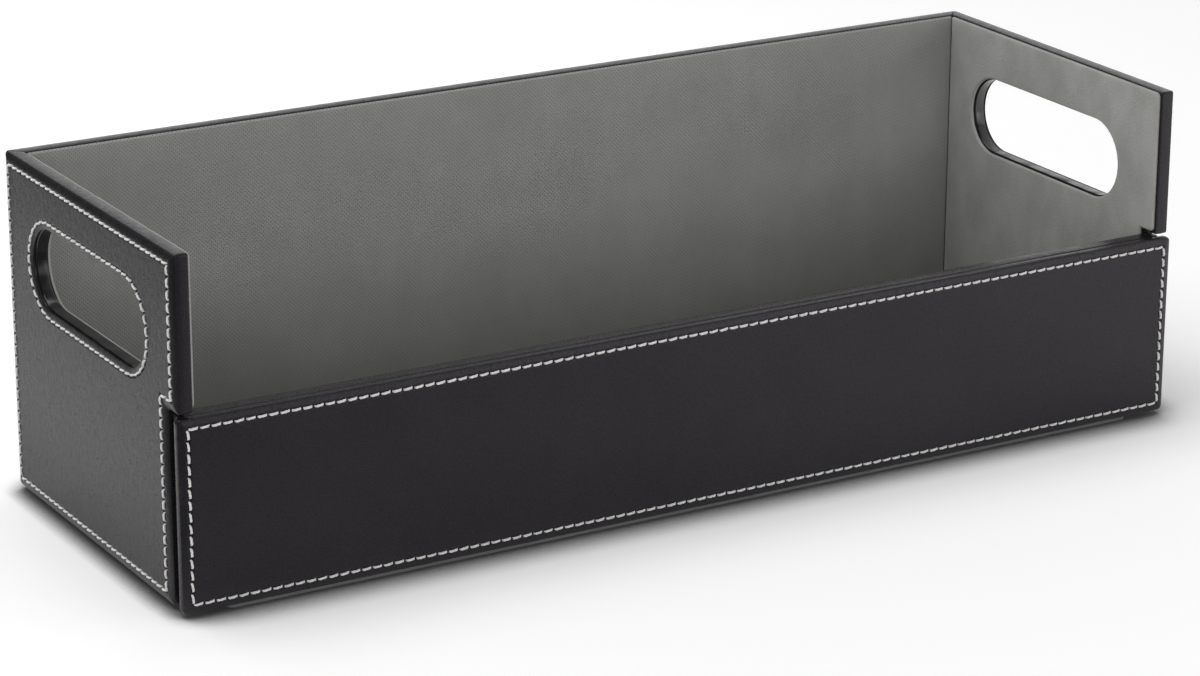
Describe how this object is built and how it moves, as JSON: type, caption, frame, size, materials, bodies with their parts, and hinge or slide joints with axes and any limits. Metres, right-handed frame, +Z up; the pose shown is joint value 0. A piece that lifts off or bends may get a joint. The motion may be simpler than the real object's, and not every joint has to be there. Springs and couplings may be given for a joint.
{
  "type": "cd storage drawer",
  "caption": "Long open storage drawer for standing disc cases, with stitched leathercloth walls, a low front panel, a cloth lining and a hand-hole in each end.",
  "frame": {"origin": "middle of the underside, on the plane that the drawer rests on", "axes": "+X right along the length, +Y to the full-height back, away from the low front, +Z up"},
  "size_m": [0.45, 0.158, 0.14],
  "materials": {
    "board": "medium density fibreboard, hidden under the wrap",
    "leathercloth": "charcoal black leathercloth with a fine pebble grain, low sheen",
    "edging": "smooth black edging strip, semi-gloss",
    "card": "grey board, hidden",
    "lining_cloth": "mid grey embossed lining cloth, matt",
    "felt": "black felt on the underside, matt"
  },
  "bodies": {
    "root": {"left_side_board": "board", "right_side_board": "board", "back_board": "board", "front_board": "board", "fascia_board": "board", "base_board": "board", "left_side_cover": "leathercloth", "right_side_cover": "leathercloth", "back_cover": "leathercloth", "front_cover": "leathercloth", "fascia_cover": "leathercloth", "left_handle_edging": "edging", "right_handle_edging": "edging", "left_liner_card": "card", "right_liner_card": "card", "back_liner_card": "card", "front_liner_card": "card", "base_liner_card": "card", "base_pad_card": "card", "fascia_bond": "card", "left_liner_cloth": "lining_cloth", "right_liner_cloth": "lining_cloth", "back_liner_cloth": "lining_cloth", "front_liner_cloth": "lining_cloth", "base_liner_cloth": "lining_cloth", "base_pad_felt": "felt"}
  },
  "joints": []
}
